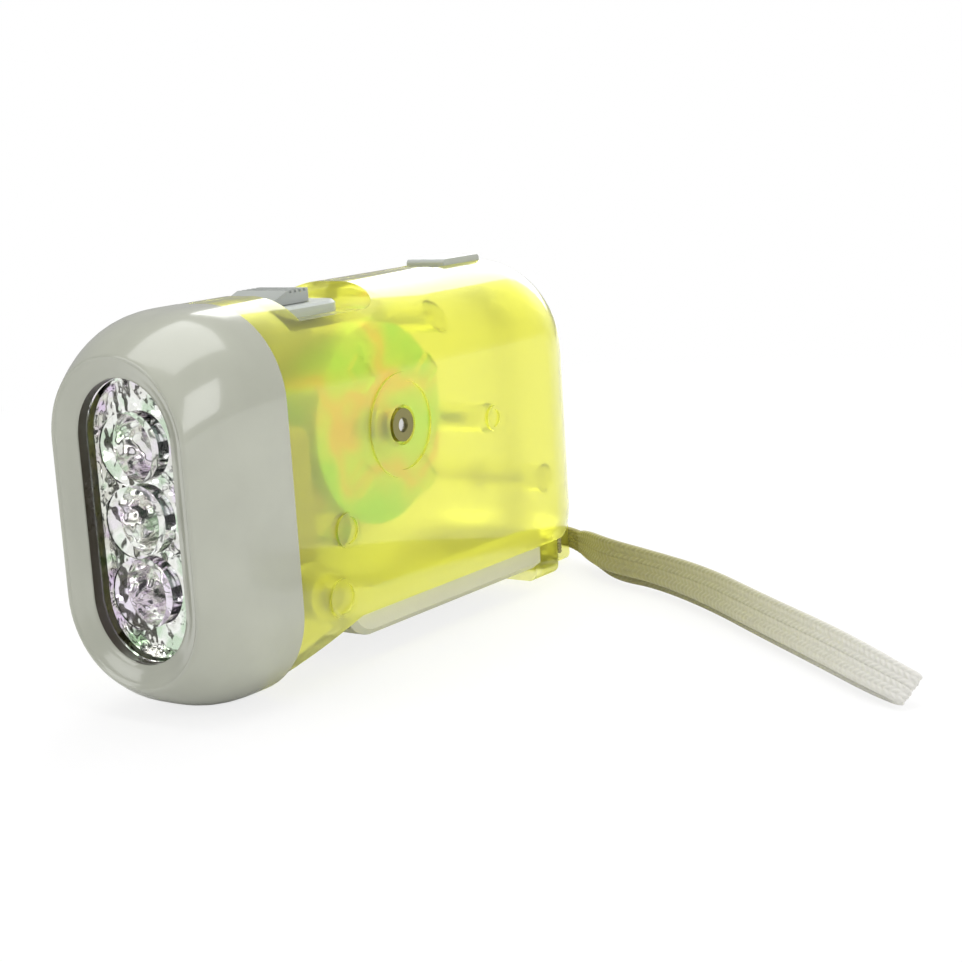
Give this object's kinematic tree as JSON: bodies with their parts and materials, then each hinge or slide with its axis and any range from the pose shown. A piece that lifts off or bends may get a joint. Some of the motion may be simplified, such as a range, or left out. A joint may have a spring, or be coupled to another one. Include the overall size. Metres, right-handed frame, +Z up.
{
  "type": "hand crank flashlight",
  "caption": "Hand-press dynamo flashlight: a squeeze lever drives a gear train and flywheel generator behind a lamp head, with slide switch, lever lock and wrist strap",
  "frame": {"origin": "bottom centre of the torch without its strap, on the plane it stands on", "axes": "+Z up, the beam leaves along -Y, the strap leaves the rear end at +Y, X is the width and +X is the side with the flywheel"},
  "size_m": [0.1038, 0.1013, 0.0548],
  "materials": {
    "shell": "glossy translucent yellow plastic",
    "head_grey": "glossy light grey plastic",
    "lever_grey": "satin grey plastic",
    "switch_grey": "moulded grey plastic",
    "clear": "clear moulded plastic",
    "reflector": "vacuum metallised plastic",
    "led": "clear epoxy lamp body",
    "board": "green circuit board",
    "dark_plastic": "black moulded plastic",
    "gear_plastic": "natural white acetal",
    "steel": "bright drawn steel",
    "spring_steel": "oiled spring wire",
    "plated_steel": "zinc plated and passivated steel",
    "brass": "turned brass",
    "copper": "enamelled copper wire",
    "magnet": "black ferrite",
    "cell_steel": "nickel plated cell case",
    "strap": "braided grey polyester"
  },
  "bodies": {
    "housing": {"shell_right": "shell", "shell_left": "shell", "head_bezel": "head_grey", "front_lens": "clear", "reflector": "reflector", "led_top": "led", "led_middle": "led", "led_bottom": "led", "led_board": "board", "cell_holder": "dark_plastic", "contact_front": "steel", "contact_rear": "steel", "cell_front": "cell_steel", "cell_rear": "cell_steel", "switch_plate": "switch_grey", "slide_switch": "dark_plastic", "lever_pin": "steel", "return_spring": "spring_steel", "first_axle": "steel", "second_axle": "steel", "bush_right": "brass", "bush_left": "brass", "mid_plate": "plated_steel", "pole_plate_inner": "plated_steel", "pole_plate_outer": "plated_steel", "bobbin": "dark_plastic", "coil": "copper", "shell_screws": "steel", "coil_leads": "copper", "wrist_strap": "strap"},
    "lever": {"lever": "lever_grey"},
    "drive_pinion": {"drive_pinion": "gear_plastic"},
    "first_gear": {"first_gear": "gear_plastic"},
    "second_gear": {"second_gear": "gear_plastic"},
    "rotor": {"flywheel": "plated_steel", "ring_magnet": "magnet", "rotor_sleeve": "steel", "rotor_pinion": "brass"},
    "switch_button": {"switch_button": "switch_grey"},
    "lock_slider": {"lock_slider": "switch_grey"}
  },
  "joints": [
    {"name": "lever_hinge", "type": "hinge", "parent": "housing", "child": "lever", "pos_m": [0, -0.02375, 0.0122], "axis": [-1, 0, 0], "range_deg": [0, 22]},
    {"name": "drive_pinion_spin", "type": "hinge", "parent": "housing", "child": "drive_pinion", "pos_m": [0, -0.00765, 0.0338], "axis": [1, 0, 0], "range_deg": [0, 110]},
    {"name": "rotor_spin", "type": "hinge", "parent": "housing", "child": "rotor", "pos_m": [0, -0.00765, 0.0338], "axis": [1, 0, 0], "continuous": true},
    {"name": "second_gear_spin", "type": "hinge", "parent": "housing", "child": "second_gear", "pos_m": [0, 0.00116, 0.02074], "axis": [1, 0, 0], "continuous": true},
    {"name": "first_gear_spin", "type": "hinge", "parent": "housing", "child": "first_gear", "pos_m": [0, -0.00765, 0.0338], "axis": [1, 0, 0], "continuous": true},
    {"name": "switch_slide", "type": "slide", "parent": "housing", "child": "switch_button", "axis": [0, 1, 0], "range_m": [0, 0.0035]},
    {"name": "lock_slide", "type": "slide", "parent": "housing", "child": "lock_slider", "axis": [0, -1, 0], "range_m": [0, 0.003]}
  ],
  "couplings": [
    {"joint": "drive_pinion_spin", "follows": "lever_hinge", "ratio": 5},
    {"joint": "second_gear_spin", "follows": "rotor_spin", "ratio": -0.2},
    {"joint": "first_gear_spin", "follows": "rotor_spin", "ratio": 0.05}
  ]
}
